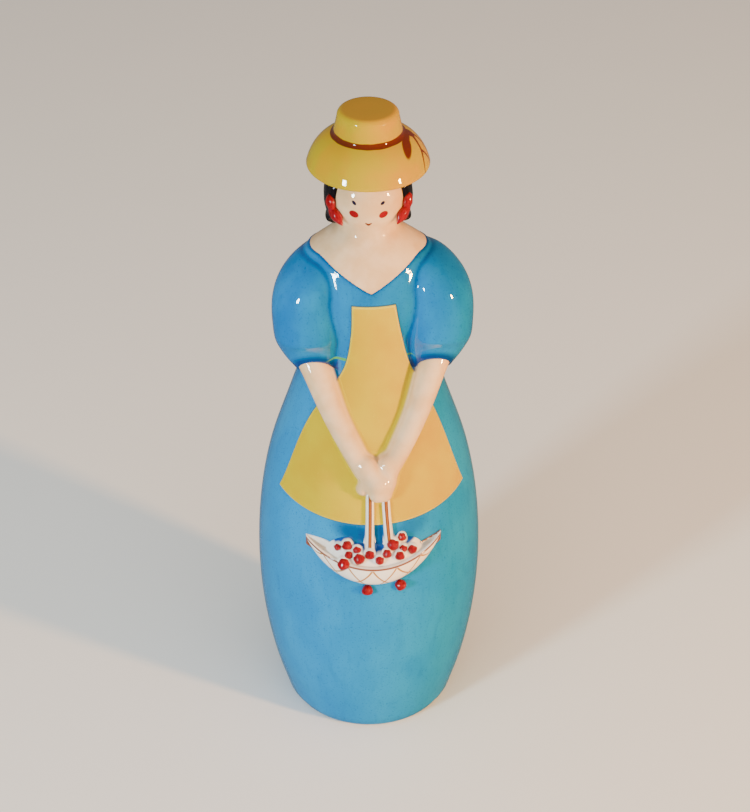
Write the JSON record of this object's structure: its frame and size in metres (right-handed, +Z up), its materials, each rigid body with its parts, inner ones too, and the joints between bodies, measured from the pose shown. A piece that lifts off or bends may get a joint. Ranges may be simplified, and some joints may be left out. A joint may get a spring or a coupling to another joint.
{
  "type": "porcelain bottle",
  "caption": "Painted porcelain bottle shaped as a woman in a long dress with apron and fruit basket; her yellow hat lifts off as a corked stopper.",
  "frame": {"origin": "centre of the flat base that the bottle stands on", "axes": "+Z up along the bottle's axis, the figure faces -Y, +X is her left"},
  "size_m": [0.0896, 0.0958, 0.27],
  "materials": {
    "blue_glaze": "glossy painted glaze",
    "skin_glaze": "glossy clear glaze over pale skin tone",
    "yellow_glaze": "glossy painted glaze",
    "red_glaze": "glossy painted glaze",
    "black_glaze": "glossy painted glaze",
    "white_glaze": "glossy clear glaze with thin brown lines",
    "cork": "natural cork"
  },
  "bodies": {
    "bottle": {"skirt": "blue_glaze", "bodice": "blue_glaze", "bust": "skin_glaze", "head": "skin_glaze", "hair": "black_glaze", "left_ear_cluster": "red_glaze", "right_ear_cluster": "red_glaze", "left_sleeve": "blue_glaze", "right_sleeve": "blue_glaze", "left_forearm": "skin_glaze", "right_forearm": "skin_glaze", "hands": "skin_glaze", "apron": "yellow_glaze", "basket": "white_glaze", "basket_handle": "white_glaze", "berries": "red_glaze"},
    "cork": {"cork_sleeve": "cork"},
    "hat": {"hat": "yellow_glaze"}
  },
  "joints": [
    {"name": "stopper_lift", "type": "slide", "parent": "bottle", "child": "cork", "axis": [0, 0, 1], "range_m": [0, 0.06]},
    {"name": "hat_turn", "type": "hinge", "parent": "cork", "child": "hat", "pos_m": [0, 0, 0.245], "axis": [0, 0, 1], "continuous": true}
  ]
}
